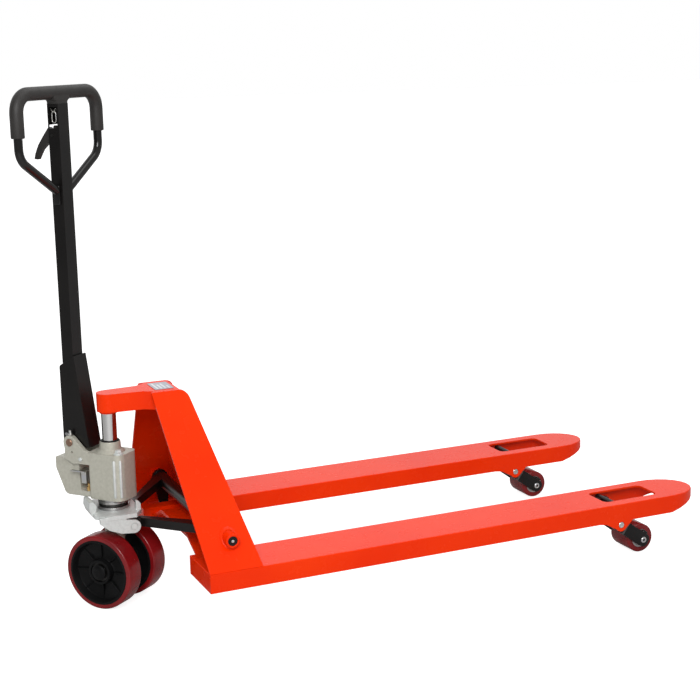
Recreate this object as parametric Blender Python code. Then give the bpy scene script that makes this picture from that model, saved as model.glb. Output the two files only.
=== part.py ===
"""Hand pallet truck (pallet jack), 685 mm over the forks and 1.2 m long on the load.

Metres, +X towards the fork tips, +Z up, floor at Z = 0, origin on the floor below the middle
of the truck.  The truck stands half raised, with its steering unit and handle turned 50 degrees.
Everything that is steered is drawn straight ahead and turned by its parent empty.
"""
import math

import bmesh
import bpy
from mathutils import Matrix, Vector

# ---------------------------------------------------------------- driving dimensions
GAP = 0.0003               # between pieces that touch
STEER_AXIS_X = -0.6393     # steering axis, so that the truck's box is centred on the origin
STEER_ANGLE = math.radians(-50.0)

# forks
OVERALL_WIDTH = 0.685
FORK_WIDTH = 0.150
FORK_Y = (OVERALL_WIDTH - FORK_WIDTH) / 2
FORK_TOP = 0.150           # deck height as the truck stands: 0.085 lowered, 0.185 raised
FORK_HEIGHT = 0.045
FORK_BOTTOM = FORK_TOP - FORK_HEIGHT
FORK_SKIN = 0.005
HEEL_X = 0.124             # distances along X are from the steering axis
NOSE_START_X = 1.370
TIP_X = 1.468
NOSE_HEIGHT = 0.020
WINDOW_X = (1.186, 1.345)
WINDOW_HALF_WIDTH = 0.043

# frame
PANEL_T = 0.006
PANEL_TOP = 0.512
PANEL_TOP_Y = 0.058
PANEL_FRONT_X = 0.251
PANEL_SLOPE = (OVERALL_WIDTH / 2 - PANEL_TOP_Y) / (PANEL_TOP - FORK_TOP)
PANEL_LEAN = 0.21          # how far the front edge leans back per unit of height
PANEL_T_Y = PANEL_T * math.hypot(1, PANEL_SLOPE)
SEAT_END_X = 0.2525        # the heel is GAP lower up to here, so that the panels stand level with the deck
BOSS_R = 0.0165
BOSS_END_Y = 0.320

# lifting linkage
LIFT_PIN = Vector((0.028, 0, 0.200))
ROCKER_AXIS = Vector((0.188, 0, 0.212))
WHEEL_FORK_AXIS = Vector((1.215, 0, 0.095))
ROLLER_AXLE = Vector((1.296, 0, 0.037))
LIFT_MIDDLE = (-0.065 + 0.035) / 2   # of the travel from the truck as it stands
ROCKER_TURN = -6.05        # radians about +Y for each metre of lift
WHEEL_FORK_TURN = 10.68
ROCKER_LEVER = 0.074
WHEEL_FORK_LEVER = 0.043
ROD_Y = 0.239

# wheels
STEER_WHEEL_R = 0.090
STEER_WHEEL_W = 0.050
STEER_WHEEL_INNER_Y = 0.026
ROLLER_R = 0.037
ROLLER_W = 0.080

# pump and ram
RAM_R = 0.0175
PUMP_BASE = 0.258
PUMP_TOP = 0.370
STEM_R = 0.0235

# handle
HANDLE_PIVOT = Vector((-0.090, 0, 0.390))
PRESSURE_ROLLER = HANDLE_PIVOT + Vector((-0.017, 0, 0.016))
HANDLE_X = -0.0945
LOOP_HALF_WIDTH = 0.148
CROSSBAR_Z = 1.209
GRIP_END_Z = 1.113
GRIP_R = 0.0155
TUBE_R = 0.010
LEVER_PIVOT = Vector((-0.100, 0, 1.112))
RELEASE_ROD_X = -0.0885

SIDES = (("left", 1), ("right", -1))

# ---------------------------------------------------------------- a clean scene
for old in list(bpy.data.objects):
    bpy.data.objects.remove(old, do_unlink=True)
for old in list(bpy.data.meshes):
    bpy.data.meshes.remove(old)

MATERIALS = {
    "orange_paint": ((0.90, 0.045, 0.005), 0.28, 0.0),
    "black_paint": ((0.012, 0.012, 0.013), 0.35, 0.0),
    "black_plastic": ((0.020, 0.020, 0.021), 0.55, 0.0),
    "silver_paint": ((0.46, 0.47, 0.43), 0.38, 0.4),
    "chrome": ((0.72, 0.71, 0.70), 0.10, 1.0),
    "zinc": ((0.60, 0.62, 0.65), 0.32, 1.0),
    "steel": ((0.42, 0.42, 0.43), 0.35, 1.0),
    "brass": ((0.70, 0.46, 0.18), 0.30, 1.0),
    "red_urethane": ((0.20, 0.006, 0.008), 0.25, 0.0),
    "black_nylon": ((0.010, 0.010, 0.011), 0.45, 0.0),
    "seal_rubber": ((0.015, 0.015, 0.015), 0.60, 0.0),
    "label_film": ((0.42, 0.43, 0.46), 0.40, 0.2),
}


def material(name):
    """The named finish as a Principled material."""
    found = bpy.data.materials.get(name)
    if found is None:
        colour, roughness, metallic = MATERIALS[name]
        found = bpy.data.materials.new(name)
        found.use_nodes = True
        shader = found.node_tree.nodes["Principled BSDF"]
        shader.inputs["Base Color"].default_value = (*colour, 1)
        shader.inputs["Roughness"].default_value = roughness
        shader.inputs["Metallic"].default_value = metallic
        found.diffuse_color = (*colour, 1)
    return found


class Body:
    """An empty on a joint's axis.  Its pieces are drawn in the coordinates of the frame it is in."""

    def __init__(self, name, parent=None, at=(0, 0, 0), turn=0.0):
        self.at = Vector(at)
        self.empty = bpy.data.objects.new(name, None)
        bpy.context.collection.objects.link(self.empty)
        if parent is not None:
            self.empty.parent = parent.empty
            self.empty.location = self.at - parent.at
        else:
            self.empty.location = self.at
            self.at = Vector((0, 0, 0))
        self.empty.rotation_euler = (0, 0, turn)

    def add(self, name, shape, finish, shift=(0, 0, 0)):
        """Makes a named piece of this body from a bmesh."""
        piece = to_object(name, shape)
        piece.data.materials.append(material(finish))
        piece.parent = self.empty
        piece.location = Vector(shift) - self.at
        return piece


def to_object(name, shape):
    """Turns a bmesh into a linked object with smooth round faces."""
    bmesh.ops.recalc_face_normals(shape, faces=shape.faces)
    mesh = bpy.data.meshes.new(name)
    shape.to_mesh(mesh)
    shape.free()
    mesh.shade_smooth()
    mesh.set_sharp_from_angle(angle=math.radians(35))
    made = bpy.data.objects.new(name, mesh)
    bpy.context.collection.objects.link(made)
    return made


def combine(piece, shape, operation):
    """Adds a Boolean that joins, cuts or keeps a shape drawn in the piece's own coordinates."""
    tool = to_object(f"{piece.name}_tool{len(piece.modifiers)}", shape)
    tool.parent = piece.parent
    tool.location = piece.location
    tool.hide_render = True
    tool.display_type = "WIRE"
    boolean = piece.modifiers.new(operation.lower(), "BOOLEAN")
    boolean.object = tool
    boolean.operation = operation
    boolean.solver = "EXACT"


def cut(piece, *shapes):
    for shape in shapes:
        combine(piece, shape, "DIFFERENCE")


def join(piece, *shapes):
    for shape in shapes:
        combine(piece, shape, "UNION")


# ---------------------------------------------------------------- shapes
def prism(outline, low, high, axis="Z"):
    """Extrudes an outline.  Its points are (x, y) along Z, (x, z) along Y and (y, z) along X."""
    place = {"Z": lambda a, b, c: (a, b, c), "Y": lambda a, b, c: (a, c, b), "X": lambda a, b, c: (c, a, b)}[axis]
    shape = bmesh.new()
    bottom = shape.faces.new([shape.verts.new(place(a, b, low)) for a, b in outline])
    grown = bmesh.ops.extrude_face_region(shape, geom=[bottom])
    moved = [item for item in grown["geom"] if isinstance(item, bmesh.types.BMVert)]
    bmesh.ops.translate(shape, verts=moved, vec=Vector(place(0, 0, high - low)))
    return shape


def block(x, y, z):
    return prism([(x[0], y[0]), (x[1], y[0]), (x[1], y[1]), (x[0], y[1])], z[0], z[1])


def turned(profile, axis="Z", centre=(0, 0, 0), segments=24):
    """Turns a profile of (radius, height) points round an axis.  It may start and end on the axis."""
    shape = bmesh.new()
    points = [shape.verts.new((radius, 0, height)) for radius, height in profile]
    closed = min(radius for radius, height in profile) > 0
    edges = [shape.edges.new(pair) for pair in zip(points, points[1:])]
    if closed:
        edges.append(shape.edges.new((points[-1], points[0])))
    bmesh.ops.spin(shape, geom=points + edges, cent=(0, 0, 0), axis=(0, 0, 1), angle=math.tau,
                   steps=segments, use_merge=True)
    bmesh.ops.remove_doubles(shape, verts=shape.verts, dist=1e-6)
    tilt = {"Z": Matrix(), "Y": Matrix.Rotation(-math.pi / 2, 4, "X"), "X": Matrix.Rotation(math.pi / 2, 4, "Y")}
    bmesh.ops.transform(shape, matrix=Matrix.Translation(centre) @ tilt[axis], verts=shape.verts)
    return shape


def rod(radius, low, high, axis="Z", centre=(0, 0, 0), segments=24):
    return turned([(0, low), (radius, low), (radius, high), (0, high)], axis, centre, segments)


def ring(inner, outer, low, high, axis="Z", centre=(0, 0, 0), segments=24):
    profile = [(inner, low), (outer, low), (outer, high), (inner, high)]
    return turned(profile, axis, centre, segments)


def arc(centre, radius, start, end, steps):
    """Points on a circle, from start to end in degrees."""
    angles = [math.radians(start + (end - start) * step / steps) for step in range(steps + 1)]
    return [(centre[0] + radius * math.cos(a), centre[1] + radius * math.sin(a)) for a in angles]


def rounded(corners, radius, steps=3):
    """An outline with its corners rounded.  radius is one value, or one for each corner."""
    radii = radius if isinstance(radius, (list, tuple)) else [radius] * len(corners)
    outline = []
    for index, (corner, size) in enumerate(zip(corners, radii)):
        here = Vector(corner)
        back = (Vector(corners[index - 1]) - here).normalized()
        ahead = (Vector(corners[(index + 1) % len(corners)]) - here).normalized()
        if size == 0:
            outline.append(tuple(here))
            continue
        half = back.angle(ahead) / 2
        centre = here + (back + ahead).normalized() * size / math.sin(half)
        first = here + back * size / math.tan(half) - centre
        turn = first.angle_signed(here + ahead * size / math.tan(half) - centre)
        for step in range(steps + 1):
            spoke = first.copy()
            spoke.rotate(Matrix.Rotation(-turn * step / steps, 2))
            outline.append(tuple(centre + spoke))
    return outline


def hull(circles, steps=16):
    """The outline of a band stretched round circles, each ((a, b), radius)."""
    points = [point for centre, radius in circles for point in arc(centre, radius, 0, 360, steps)[:-1]]
    points = sorted({(round(a, 7), round(b, 7)) for a, b in points})

    def chain(ordered):
        kept = []
        for point in ordered:
            while len(kept) > 1 and cross(kept[-2], kept[-1], point) <= 1e-10:
                kept.pop()
            kept.append(point)
        return kept[:-1]

    return chain(points) + chain(reversed(points))


def cross(a, b, c):
    return (b[0] - a[0]) * (c[1] - a[1]) - (b[1] - a[1]) * (c[0] - a[0])


def sweep(path, radius, sides=12):
    """A round bar along a path of points, with flat ends."""
    shape = bmesh.new()
    points = [Vector(point) for point in path]
    side = None
    rings = []
    for index, point in enumerate(points):
        along = (points[min(index + 1, len(points) - 1)] - points[max(index - 1, 0)]).normalized()
        if side is None:
            side = along.orthogonal().normalized()
        side = (side - along * side.dot(along)).normalized()
        up = along.cross(side)
        angles = [math.tau * step / sides for step in range(sides)]
        rings.append([shape.verts.new(point + radius * (side * math.cos(a) + up * math.sin(a))) for a in angles])
    for near, far in zip(rings, rings[1:]):
        for step in range(sides):
            after = (step + 1) % sides
            shape.faces.new((near[step], near[after], far[after], far[step]))
    shape.faces.new(rings[0])
    shape.faces.new(rings[-1])
    return shape


def moved(shape, change):
    """Moves each vertex of a shape by the vector that change(position) gives."""
    for vert in shape.verts:
        vert.co += Vector(change(vert.co))
    return shape


def xz(point):
    return (point.x, point.z)


# ---------------------------------------------------------------- forks
def nose_outline(inset=0.0, heel=HEEL_X):
    """A fork seen from above, about its own middle line, with an elliptical nose."""
    half = FORK_WIDTH / 2 - inset
    length = TIP_X - NOSE_START_X - inset
    nose = [(NOSE_START_X + length * math.cos(a), half * math.sin(a))
            for a in (math.radians(90 - 15 * step) for step in range(13))]
    return [(heel, -half), (heel, half), *nose][::-1]


def side_outline():
    """A fork seen from the side, with the lug that carries the wheel fork and the rising nose."""
    x, z = xz(WHEEL_FORK_AXIS)
    lug = arc((x, z), 0.017, 215, 325, 5)
    rise = (FORK_TOP - NOSE_HEIGHT - FORK_BOTTOM) / (TIP_X - NOSE_START_X)
    past = TIP_X + 0.010
    return [(HEEL_X, FORK_TOP), (HEEL_X, FORK_BOTTOM), (x - 0.065, FORK_BOTTOM), (x - 0.045, FORK_BOTTOM - 0.003),
            *lug, (x + 0.034, FORK_BOTTOM), (NOSE_START_X, FORK_BOTTOM),
            (past, FORK_BOTTOM + rise * (past - NOSE_START_X)), (past, FORK_TOP)]


def make_fork(frame, side, sign):
    wide = FORK_WIDTH / 2 + 0.005
    fork = frame.add(f"fork_{side}", prism(side_outline(), -wide, wide, "Y"), "orange_paint", (0, sign * FORK_Y, 0))
    combine(fork, prism(nose_outline(heel=HEEL_X - 0.010), 0.050, 0.200), "INTERSECT")
    ceiling = FORK_TOP - FORK_SKIN
    half = WINDOW_HALF_WIDTH
    window = [(WINDOW_X[0], -half), (WINDOW_X[1], -half), (WINDOW_X[1], half), (WINDOW_X[0], half)]
    lever = sorted(sign * (y - FORK_Y) for y in (0.230, 0.259))
    cut(fork,
        prism(nose_outline(FORK_SKIN, HEEL_X + FORK_SKIN), 0.040, ceiling),
        prism(rounded(window, 0.014), ceiling - 0.010, 0.210),
        block((0.148, 0.228), lever, (ceiling - 0.010, 0.210)),
        block((0.100, SEAT_END_X), (-wide, wide), (FORK_TOP - GAP, 0.210)),
        rod(0.008 + GAP, -0.1, 0.1, "Y", WHEEL_FORK_AXIS, 20))
    return fork


# ---------------------------------------------------------------- frame
def panel_outer_y(z):
    return OVERALL_WIDTH / 2 - PANEL_SLOPE * (z - FORK_TOP)


def front_x(z):
    return PANEL_FRONT_X - PANEL_LEAN * (z - FORK_TOP)


def make_panel(frame, side, sign):
    """A side panel, flush with the fork's outer side below and close to the crosshead above."""
    corners = [(HEEL_X, FORK_TOP), (PANEL_FRONT_X, FORK_TOP), (front_x(PANEL_TOP), PANEL_TOP), (0.090, PANEL_TOP)]
    plate = prism(rounded(corners, [0, 0, 0.022, 0.004], 4), -PANEL_T_Y, 0, "Y")
    moved(plate, lambda at: (0, panel_outer_y(at.z), 0))
    if sign < 0:
        bmesh.ops.scale(plate, vec=(1, -1, 1), verts=plate.verts)
    panel = frame.add(f"side_panel_{side}", plate, "orange_paint")
    cut(panel, rod(BOSS_R + GAP, -0.4, 0.4, "Y", ROCKER_AXIS, 28))


def crosshead_outline(inset):
    """The crosshead seen from above: a narrow nose that flares to meet both panels."""
    end = 0.160 - inset
    edge = [(end, 0.0498), (0.102, 0.0498), (0.078, 0.032), (0.000, 0.027)]
    upper = [(x, y - inset) for x, y in edge]
    tip = arc((0.000, 0), 0.027 - inset, 90, 270, 8)[1:-1]
    return upper + tip + [(x, -y) for x, y in reversed(upper)]


def make_crosshead(frame):
    head = frame.add("crosshead", prism(crosshead_outline(0), 0.468, PANEL_TOP), "orange_paint")
    cut(head, prism(crosshead_outline(0.006), 0.450, PANEL_TOP - 0.006))
    join(head, rod(0.0205, 0.4632, PANEL_TOP - 0.003, segments=28))
    cut(head, rod(RAM_R + GAP, 0.440, 0.490, segments=28))


def make_load_stop(frame):
    """The leaning plate that closes the front of the frame between the panels."""
    top = 0.478
    foot = FORK_TOP
    fork_inner = FORK_Y - FORK_WIDTH / 2 - GAP
    low = panel_outer_y(foot) - PANEL_T_Y - 2 * GAP
    high = panel_outer_y(top) - PANEL_T_Y - 2 * GAP
    right = [(fork_inner, 0.112), (fork_inner, foot), (low, foot), (high, top)]
    outline = right + [(-y, z) for y, z in reversed(right)]
    plate = prism(outline, -0.014, -0.008, "X")
    moved(plate, lambda at: (front_x(at.z), 0, 0))
    frame.add("load_stop_plate", plate, "orange_paint")


def make_cross_member(frame):
    """The arched tie plate between the two heels."""
    half = FORK_Y - FORK_WIDTH / 2 - GAP
    under = [(half, 0.126), (0.105, 0.162), (-0.105, 0.162), (-half, 0.126)]
    outline = under + [(y, z + 0.008) for y, z in reversed(under)]
    frame.add("cross_member", prism(outline, 0.146, 0.228, "X"), "orange_paint")


def make_frame(frame):
    for side, sign in SIDES:
        make_fork(frame, side, sign)
        make_panel(frame, side, sign)
        boss = ring(0.011 + GAP, BOSS_R, 0.262, BOSS_END_Y, "Y", ROCKER_AXIS, 28)
        if sign < 0:
            bmesh.ops.scale(boss, vec=(1, -1, 1), verts=boss.verts)
        frame.add(f"pivot_boss_{side}", boss, "orange_paint")
        pin = rod(0.008, -0.0755, 0.0755, "Y", WHEEL_FORK_AXIS, 20)
        frame.add(f"wheel_fork_pin_{side}", pin, "zinc", (0, sign * FORK_Y, 0))
    make_crosshead(frame)
    make_load_stop(frame)
    make_cross_member(frame)
    shaft_end = BOSS_END_Y - 0.001
    frame.add("rocker_shaft", rod(0.011, -shaft_end, shaft_end, "Y", ROCKER_AXIS, 24), "black_paint")
    frame.add("ram", rod(RAM_R, 0.285, 0.490 - GAP, segments=28), "chrome")
    label = rounded([(0.106, -0.036), (0.152, -0.036), (0.152, 0.036), (0.106, 0.036)], 0.003, 2)
    frame.add("data_plate", prism(label, PANEL_TOP + GAP, PANEL_TOP + 0.0012), "label_film")


# ---------------------------------------------------------------- lifting linkage
def lever_end(pivot, length, turn):
    """The end of a lever as the truck stands.  It is upright halfway through the lift."""
    arm = Vector((0, 0, length))
    arm.rotate(Matrix.Rotation(-turn * LIFT_MIDDLE, 3, "Y"))
    return pivot + arm


ROD_REAR = lever_end(ROCKER_AXIS, -ROCKER_LEVER, ROCKER_TURN)
ROD_FRONT = lever_end(WHEEL_FORK_AXIS, WHEEL_FORK_LEVER, WHEEL_FORK_TURN)


def make_rocker(rocker):
    """Cross tube, two splayed arms to the thrust plate, and two levers that work the push rods.

    The arms are shallow below their pins, because they pass over the tyres when the truck is lowered.
    """
    tube = rocker.add("rocker_arm", rod(0.017, -0.258, 0.258, "Y", ROCKER_AXIS, 20), "black_paint")
    rise = (ROCKER_AXIS.z - LIFT_PIN.z) / (ROCKER_AXIS.x - LIFT_PIN.x)
    slot_run = 0.0125
    for side, sign in SIDES:
        outline = [(0.030, 0.0485), (0.054, 0.0485), (0.190, 0.208), (0.190, 0.236), (0.172, 0.236), (0.0475, 0.0635),
                   (0.030, 0.0635)]
        arm = prism([(x, sign * y) for x, y in outline], -0.008, 0.013)
        moved(arm, lambda at: (0, 0, LIFT_PIN.z + rise * (at.x - LIFT_PIN.x)))
        span = sorted((sign * 0.048, sign * 0.064))
        eye_back = (LIFT_PIN.x - slot_run + 0.001, LIFT_PIN.z)
        eye = prism(hull([(xz(LIFT_PIN), 0.015), (eye_back, 0.014)], 12), *span, "Y")
        lever = hull([(xz(ROCKER_AXIS), 0.021), (xz(ROD_REAR), 0.011)], 12)
        across = sorted((sign * 0.2455, sign * 0.2555))
        join(tube, arm, eye, prism(lever, *across, "Y"))
        slot = hull([(xz(LIFT_PIN), 0.0095), ((LIFT_PIN.x - slot_run, LIFT_PIN.z), 0.0092)], 12)
        outer = sorted((sign * 0.040, sign * 0.072))
        cut(tube, prism(slot, *outer, "Y"),
            rod(0.006 + GAP, *sorted((sign * 0.230, sign * 0.270)), "Y", ROD_REAR, 12))
        pin = rod(0.006, *sorted((sign * 0.233, sign * 0.2575)), "Y", ROD_REAR, 12)
        rocker.add(f"rod_pin_{side}", pin, "zinc")
    cut(tube, rod(0.011 + GAP, -0.3, 0.3, "Y", ROCKER_AXIS, 20))


def make_push_rod(body, side, sign):
    """A flat bar in the fork, with an eye on the rocker's lever and a yoke under the wheel fork's tube."""
    rear, front = xz(ROD_REAR), xz(ROD_FRONT)
    bar = [(rear[0] - 0.010, 0.112), (front[0] - 0.014, 0.112), (front[0] - 0.014, 0.126),
           (rear[0] + 0.022, 0.126), (rear[0] + 0.010, rear[1]), (rear[0] - 0.010, rear[1])]
    span = sorted((sign * (ROD_Y - 0.005), sign * (ROD_Y + 0.005)))
    piece = body.add(f"push_rod_{side}", prism(bar, *span, "Y"), "black_paint")
    eye = rod(0.0105, *span, "Y", ROD_REAR, 12)
    yoke = [(front[0] - 0.017, 0.1105), (front[0] + 0.016, 0.1105), (front[0] + 0.016, 0.139),
            (front[0] + 0.0084, 0.139), (front[0] + 0.0084, 0.1155), (front[0] - 0.0084, 0.1155),
            (front[0] - 0.0084, 0.139), (front[0] - 0.017, 0.139)]
    wide = sorted((sign * (ROD_Y - 0.009), sign * (ROD_Y + 0.009)))
    join(piece, eye, prism(yoke, *wide, "Y"))
    cut(piece, rod(0.006 + GAP, *sorted((sign * 0.220, sign * 0.262)), "Y", ROD_REAR, 12))


def make_wheel_fork(body, side, sign):
    """Two cheeks with the roller between them, a sleeve on the pivot and the push rod's tube above it."""
    shift = (0, sign * FORK_Y, 0)
    piece = body.add(f"wheel_fork_{side}", rod(0.013, -0.052, 0.052, "Y", WHEEL_FORK_AXIS, 16), "black_paint", shift)
    cheek = hull([(xz(WHEEL_FORK_AXIS), 0.0165), (xz(ROLLER_AXLE), 0.018)], 16)
    lever = hull([(xz(WHEEL_FORK_AXIS), 0.012), (xz(ROD_FRONT), 0.0062)], 12)
    for middle in (0.047, -0.047):
        join(piece, prism(cheek, middle - 0.0030, middle + 0.0030, "Y"),
             prism(lever, middle - 0.0025, middle + 0.0025, "Y"))
    along = (ROLLER_AXLE - WHEEL_FORK_AXIS).normalized()
    across = Vector((along.z, 0, -along.x))
    middle = WHEEL_FORK_AXIS + along * 0.031
    corners = ((-0.004, -0.015), (0.004, -0.015), (0.004, 0.015), (-0.004, 0.015))
    web = [xz(middle + along * a + across * b) for a, b in corners]
    join(piece, prism(web, -0.046, 0.046, "Y"), rod(0.0066, -0.046, 0.046, "Y", ROD_FRONT, 16))
    cut(piece, rod(0.008 + GAP, -0.06, 0.06, "Y", WHEEL_FORK_AXIS, 16),
        rod(0.008 + GAP, -0.06, 0.06, "Y", ROLLER_AXLE, 16))
    axle = turned([(0, -0.058), (0.0065, -0.058), (0.008, -0.0565), (0.008, 0.0565), (0.0065, 0.058), (0, 0.058)],
                  "Y", ROLLER_AXLE, 16)
    body.add(f"roller_axle_{side}", axle, "zinc", shift)


def make_roller(body, side, sign):
    shift = (0, sign * FORK_Y, 0)
    half = ROLLER_W / 2
    core = ring(0.008 + GAP, 0.024, -half + 0.001, half - 0.001, "Y", ROLLER_AXLE, 16)
    body.add(f"roller_core_{side}", core, "steel", shift)
    inner = 0.024 + GAP
    tread = turned([(inner, -half), (ROLLER_R - 0.003, -half), (ROLLER_R, -half + 0.003),
                    (ROLLER_R, half - 0.003), (ROLLER_R - 0.003, half), (inner, half)], "Y", ROLLER_AXLE, 28)
    body.add(f"roller_tread_{side}", tread, "red_urethane", shift)


# ---------------------------------------------------------------- thrust plate and bearing
def make_thrust_plate(thrust):
    """The cast plate that the pump stands on, with an ear each side for the rocker arms."""
    flange = [(-0.058, -0.050), (-0.034, -0.078), (0.036, -0.078), (0.054, -0.050),
              (0.054, 0.050), (0.036, 0.078), (-0.034, 0.078), (-0.058, 0.050)]
    plate = thrust.add("thrust_plate", prism(flange, 0.222, 0.232), "silver_paint")
    x, z = xz(LIFT_PIN)
    cheek = [(-0.052, 0.230), (-0.052, 0.216), (-0.032, 0.199), (-0.004, 0.187), *arc((x, z), 0.016, 270, 440, 8),
             (0.010, 0.219), (0.010, 0.230)]
    for span in ((0.0655, 0.0775), (-0.0775, -0.0655)):
        join(plate, prism(cheek, *span, "Y"))
    back = [(-0.060, 0.224), (-0.050, 0.224), (-0.048, 0.250), (-0.056, 0.2575), (-0.064, 0.2575), (-0.066, 0.240)]
    join(plate, prism(back, -0.030, 0.030, "Y"))
    fin = [(0.040, 0.224), (0.053, 0.224), (0.053, 0.246), (0.047, 0.253), (0.042, 0.253)]
    join(plate, prism(fin, -0.050, -0.040, "Y"), prism(fin, 0.040, 0.050, "Y"))
    cut(plate, rod(STEM_R + 0.0005, 0.200, 0.300, segments=32),
        rod(0.008 + GAP, -0.1, 0.1, "Y", LIFT_PIN, 20))
    for side, sign in SIDES:
        pin = rod(0.008, *sorted((sign * 0.047, sign * 0.0785)), "Y", LIFT_PIN, 20)
        thrust.add(f"lift_pin_{side}", pin, "silver_paint")
    thrust.add("bearing_lower_race", ring(STEM_R + 0.0006, 0.038, 0.232 + GAP, 0.239, segments=32), "steel")


# ---------------------------------------------------------------- pump
def make_pump(pump):
    """Pump casting: round-cornered body, wheel stem, handle ears, and the plunger's cylinder behind."""
    plan = [(-0.042, -0.038), (0.052, -0.038), (0.052, 0.038), (-0.042, 0.038)]
    body = pump.add("pump_body", prism(rounded(plan, [0.010, 0.020, 0.020, 0.010], 4), PUMP_BASE, PUMP_TOP), "silver_paint")
    join(body, turned([(0, PUMP_TOP - 0.010), (0.035, PUMP_TOP - 0.010), (0.034, PUMP_TOP + 0.001),
                       (0.0255, PUMP_TOP + 0.007), (0.0245, 0.393), (0.0235, 0.395), (0, 0.395)], segments=32))
    join(body, rod(STEM_R, 0.068, PUMP_BASE + 0.005, segments=28))
    pivot = xz(HANDLE_PIVOT)
    ear = [*arc(pivot, 0.017, 40, 196, 8), (-0.104, 0.372), (-0.106, 0.350), (-0.080, 0.338),
           (-0.072, 0.340), (-0.036, 0.340), (-0.036, 0.369), (-0.050, 0.374)]
    for span in ((0.0262, 0.0379), (-0.0379, -0.0262)):
        join(body, prism(ear, *span, "Y"))
    wing = rounded([(-0.139, 0.350), (-0.139, 0.322), (-0.113, 0.259), (-0.036, 0.259), (-0.036, 0.272),
                    (-0.070, 0.272), (-0.072, 0.350)], [0.004, 0.012, 0.014, 0, 0, 0.006, 0], 3)
    join(body, prism(wing, -0.030, 0.030, "Y"))
    cut(body,
        rod(RAM_R + 0.0005, 0.200, 0.420, segments=28),
        rod(0.010 + GAP, -0.06, 0.06, "Y", (0, 0, STEER_WHEEL_R), 24),
        rod(0.009 + GAP, -0.06, 0.06, "Y", HANDLE_PIVOT, 20),
        rod(0.0068, 0.296, 0.380, centre=(-0.111, 0, 0), segments=16),
        rod(0.0025, -0.05, 0.05, "Y", (-0.084, 0, 0.367), 10))
    pump.add("bearing_upper_race", turned([(STEM_R + GAP, 0.246), (0.036, 0.246), (0.036, 0.252), (0.034, 0.252),
                                           (0.034, PUMP_BASE - GAP), (STEM_R + GAP, PUMP_BASE - GAP)], segments=32), "steel")
    pump.add("bearing_cage", ring(0.026, 0.0345, 0.239 + GAP, 0.246 - GAP, segments=32), "brass")
    pump.add("wiper_ring", ring(RAM_R + GAP, 0.0225, 0.395 + GAP, 0.3975, segments=28), "seal_rubber")
    plug = turned([(0, PUMP_TOP + GAP), (0.0085, PUMP_TOP + GAP), (0.0085, PUMP_TOP + 0.009),
                   (0.0070, PUMP_TOP + 0.011), (0, PUMP_TOP + 0.011)], "Z", (0.0385, -0.023, 0), 6)
    pump.add("filler_plug", plug, "silver_paint")
    top = HANDLE_PIVOT.z + 0.017
    screw = turned([(0, top + GAP), (0.006, top + GAP), (0.006, top + 0.005), (0.0035, top + 0.005),
                    (0.0035, top + 0.012), (0, top + 0.012)], "Z", (HANDLE_PIVOT.x, -0.032, 0), 12)
    pump.add("adjusting_screw", screw, "zinc")
    valve = turned([(0, 0.272 + GAP), (0.0065, 0.272 + GAP), (0.0065, 0.282), (0.004, 0.282), (0.004, 0.290),
                    (0, 0.290)], "Z", (-0.050, -0.022, 0), 12)
    pump.add("lowering_valve", valve, "brass")
    pump.add("steer_axle", rod(0.010, -0.072, 0.072, "Y", (0, 0, STEER_WHEEL_R), 24), "steel")
    pin = turned([(0, -0.041), (0.0075, -0.041), (0.009, -0.0395), (0.009, 0.0395), (0.0075, 0.041), (0, 0.041)],
                 "Y", HANDLE_PIVOT, 20)
    pump.add("handle_pin", pin, "steel")


def make_release_lever(release):
    """The plated lever under the handle that opens the lowering valve."""
    outline = [(-0.066, -0.010), (-0.046, -0.010), (-0.046, -0.046), (-0.086, -0.046), (-0.086, -0.0385),
               (-0.066, -0.0385)]
    lever = release.add("release_lever", prism(outline, 0.322, 0.3255), "zinc")
    join(lever, block((-0.064, -0.050), (-0.034, -0.012), (0.292, 0.323)))


def make_plunger(plunger):
    """The pump plunger: a rod with a round head that the handle's roller pushes down."""
    head = PRESSURE_ROLLER.z - 0.0105
    shape = turned([(0, 0.330), (0.0065, 0.330), (0.0065, head - 0.006), (0.0100, head - 0.006),
                    (0.0100, head - 0.0015), (0.0085, head), (0, head)], "Z", (-0.111, 0, 0), 20)
    plunger.add("pump_plunger", shape, "steel")
    turns = 5.0
    low, high, mean = 0.350 + 0.0014, head - 0.0075, 0.0087
    steps = int(turns * 9)
    coil = [(-0.111 + mean * math.cos(math.tau * turns * step / steps), mean * math.sin(math.tau * turns * step / steps),
             low + (high - low) * step / steps) for step in range(steps + 1)]
    plunger.add("plunger_spring", sweep(coil, 0.0011, 4), "zinc")


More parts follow.
